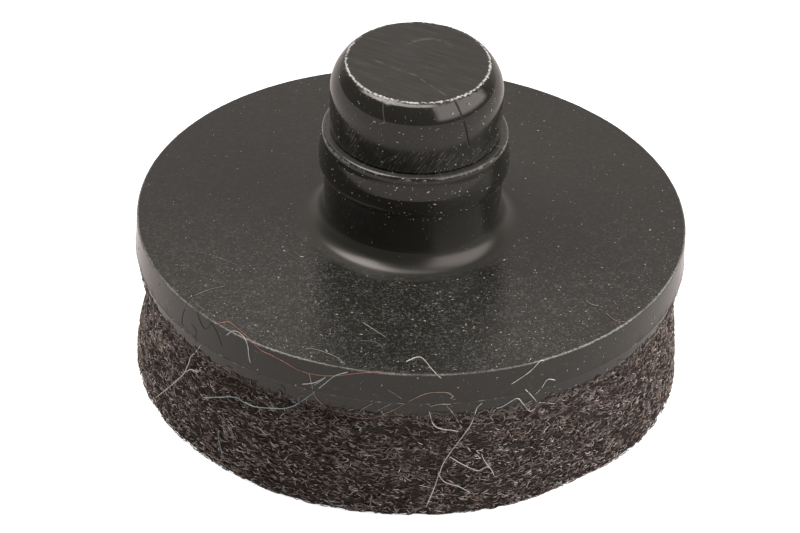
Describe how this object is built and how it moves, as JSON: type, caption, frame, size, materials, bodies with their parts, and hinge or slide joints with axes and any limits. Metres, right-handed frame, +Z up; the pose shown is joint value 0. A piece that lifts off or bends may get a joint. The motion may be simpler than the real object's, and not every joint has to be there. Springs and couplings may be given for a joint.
{
  "type": "felt furniture glide",
  "caption": "Round push-in glide for a chair or table leg: a moulded plastic disc with a barbed snap stem and a thick felt pad bonded underneath",
  "frame": {"origin": "middle of the felt's lower face, on the floor", "axes": "+Z up along the stem, which is the axis of every piece; X and Y lie in the floor plane"},
  "size_m": [0.0252, 0.0252, 0.016],
  "materials": {
    "moulded_plastic": "black moulded plastic, glossy with fine grain, dust and scuffed edges",
    "felt": "pressed grey-brown felt of mixed dark and pale fibres"
  },
  "bodies": {
    "root": {"glide_body": "moulded_plastic", "felt_pad": "felt"}
  },
  "joints": []
}
